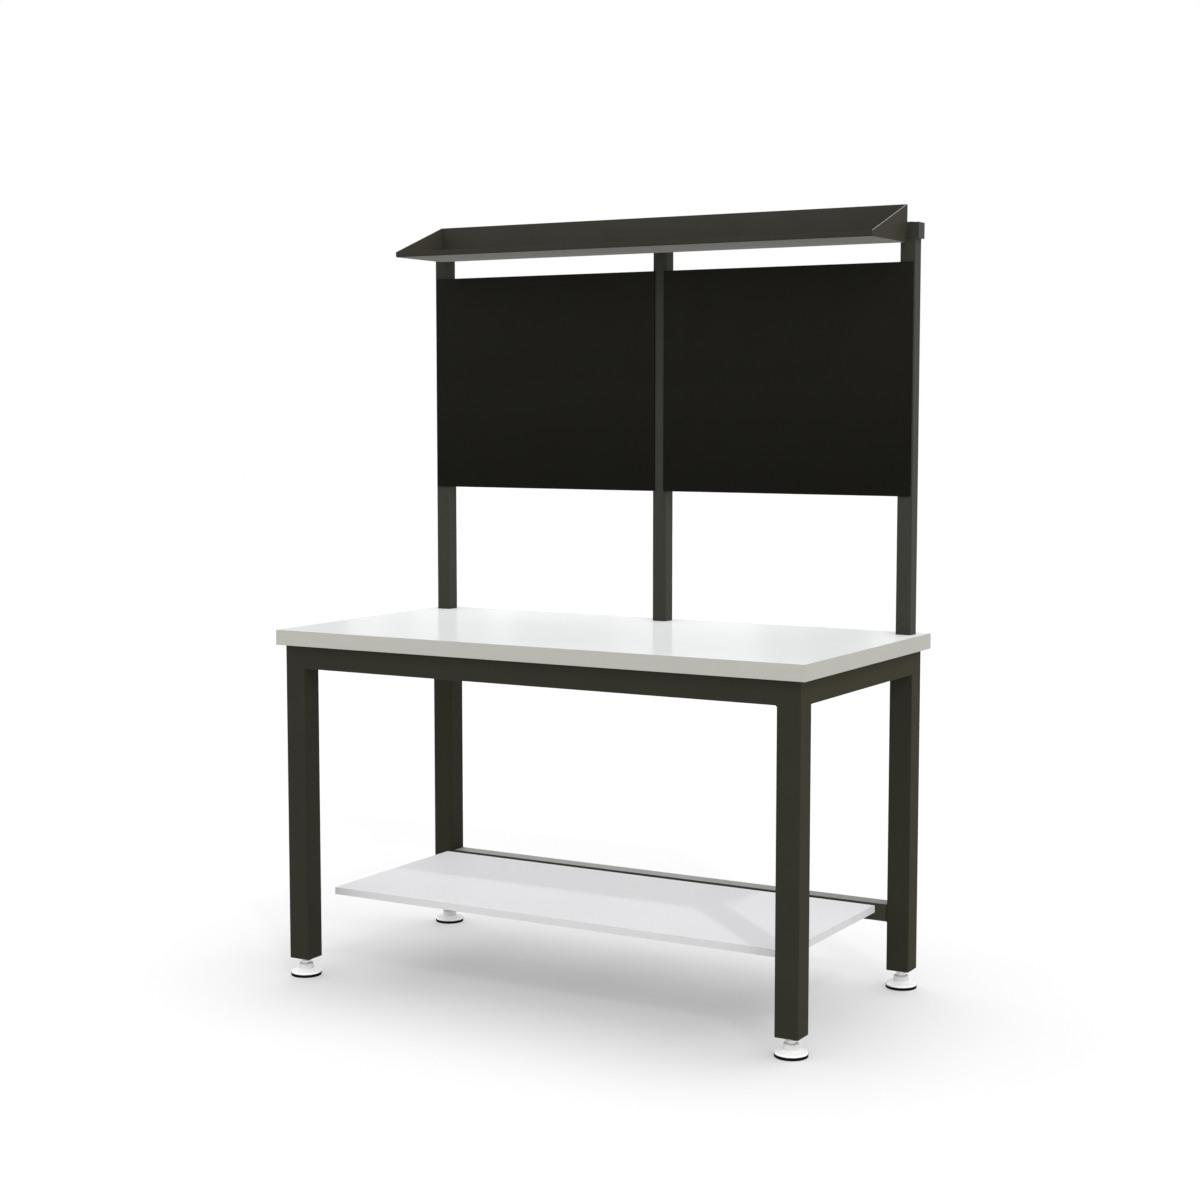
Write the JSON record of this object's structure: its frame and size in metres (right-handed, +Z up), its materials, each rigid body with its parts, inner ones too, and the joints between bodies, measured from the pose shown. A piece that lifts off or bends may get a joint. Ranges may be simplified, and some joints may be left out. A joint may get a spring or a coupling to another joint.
{
  "type": "workbench with overhead shelf",
  "caption": "Steel-tube workbench with a laminate top, lower shelf, levelling feet, and rear uprights that carry back panels and an overhead tray shelf.",
  "frame": {"origin": "on the floor under the middle of the worktop", "axes": "+X to the right as a user faces the bench, +Y to the rear, +Z up"},
  "size_m": [1.5, 0.768, 1.992],
  "materials": {
    "frame_paint": "fine-texture dark olive grey powder coat",
    "upright_paint": "fine-texture dark olive grey powder coat",
    "panel_paint": "matt black powder coat",
    "cap_plastic": "moulded, matt",
    "worktop_laminate": "white high-pressure laminate, semi-gloss",
    "worktop_edge": "light grey edge band, satin",
    "worktop_board": "raw chipboard",
    "worktop_backer": "balancing sheet, matt",
    "shelf_board": "pale grey melamine-faced board, satin",
    "shelf_edging": "pale grey edging, satin",
    "pad_plastic": "moulded white plastic",
    "sole_rubber": "matt black rubber",
    "plated_steel": "zinc plated",
    "black_screws": "black oxide"
  },
  "bodies": {
    "bench": {"leg_front_left": "frame_paint", "leg_front_right": "frame_paint", "leg_rear_left": "frame_paint", "leg_rear_right": "frame_paint", "apron_front": "frame_paint", "apron_rear": "frame_paint", "apron_left": "frame_paint", "apron_right": "frame_paint", "rear_stringer": "frame_paint", "worktop_brackets": "frame_paint", "shelf_arm_left": "frame_paint", "shelf_arm_centre": "frame_paint", "shelf_arm_right": "frame_paint", "leg_end_plates": "frame_paint", "upright_left": "upright_paint", "upright_centre": "upright_paint", "upright_right": "upright_paint", "header_bar": "upright_paint", "overhead_tray": "upright_paint", "tray_end_left": "upright_paint", "tray_end_right": "upright_paint", "panel_clips": "upright_paint", "back_panel_left": "panel_paint", "back_panel_right": "panel_paint", "header_end_caps": "cap_plastic", "worktop_laminate": "worktop_laminate", "edge_band_front": "worktop_edge", "edge_band_rear": "worktop_edge", "edge_band_left": "worktop_edge", "edge_band_right": "worktop_edge", "worktop_core": "worktop_board", "worktop_backer": "worktop_backer", "lower_shelf_board": "shelf_board", "lower_shelf_edging": "shelf_edging", "lock_nuts": "plated_steel", "spigot_left": "plated_steel", "spigot_centre": "plated_steel", "spigot_right": "plated_steel", "upright_top_plugs": "plated_steel", "header_bolts": "plated_steel", "rivet_nuts": "plated_steel", "stud_nuts": "plated_steel", "tray_studs": "plated_steel", "worktop_screws": "plated_steel", "shelf_screws": "plated_steel", "upright_set_screws": "black_screws", "clip_screws": "black_screws", "arm_bolts": "black_screws"},
    "foot_front_left": {"foot_pad_front_left": "pad_plastic", "foot_sole_front_left": "sole_rubber"},
    "stud_front_left": {"foot_stud_front_left": "plated_steel"},
    "foot_front_right": {"foot_pad_front_right": "pad_plastic", "foot_sole_front_right": "sole_rubber"},
    "stud_front_right": {"foot_stud_front_right": "plated_steel"},
    "foot_rear_left": {"foot_pad_rear_left": "pad_plastic", "foot_sole_rear_left": "sole_rubber"},
    "stud_rear_left": {"foot_stud_rear_left": "plated_steel"},
    "foot_rear_right": {"foot_pad_rear_right": "pad_plastic", "foot_sole_rear_right": "sole_rubber"},
    "stud_rear_right": {"foot_stud_rear_right": "plated_steel"}
  },
  "joints": [
    {"name": "foot_front_left_extend", "type": "slide", "parent": "bench", "child": "foot_front_left", "axis": [0, 0, -1], "range_m": [0, 0.03]},
    {"name": "stud_front_left_turn", "type": "hinge", "parent": "foot_front_left", "child": "stud_front_left", "pos_m": [-0.702, -0.337, 0.03], "axis": [0, 0, -1], "range_deg": [0, 5400]},
    {"name": "foot_front_right_extend", "type": "slide", "parent": "bench", "child": "foot_front_right", "axis": [0, 0, -1], "range_m": [0, 0.03]},
    {"name": "stud_front_right_turn", "type": "hinge", "parent": "foot_front_right", "child": "stud_front_right", "pos_m": [0.702, -0.337, 0.03], "axis": [0, 0, -1], "range_deg": [0, 5400]},
    {"name": "foot_rear_left_extend", "type": "slide", "parent": "bench", "child": "foot_rear_left", "axis": [0, 0, -1], "range_m": [0, 0.03]},
    {"name": "stud_rear_left_turn", "type": "hinge", "parent": "foot_rear_left", "child": "stud_rear_left", "pos_m": [-0.702, 0.334, 0.03], "axis": [0, 0, -1], "range_deg": [0, 5400]},
    {"name": "foot_rear_right_extend", "type": "slide", "parent": "bench", "child": "foot_rear_right", "axis": [0, 0, -1], "range_m": [0, 0.03]},
    {"name": "stud_rear_right_turn", "type": "hinge", "parent": "foot_rear_right", "child": "stud_rear_right", "pos_m": [0.702, 0.334, 0.03], "axis": [0, 0, -1], "range_deg": [0, 5400]}
  ],
  "couplings": [
    {"joint": "stud_front_left_turn", "follows": "foot_front_left_extend", "rad_per_m": 3141.6},
    {"joint": "stud_front_right_turn", "follows": "foot_front_right_extend", "rad_per_m": 3141.6},
    {"joint": "stud_rear_left_turn", "follows": "foot_rear_left_extend", "rad_per_m": 3141.6},
    {"joint": "stud_rear_right_turn", "follows": "foot_rear_right_extend", "rad_per_m": 3141.6}
  ]
}
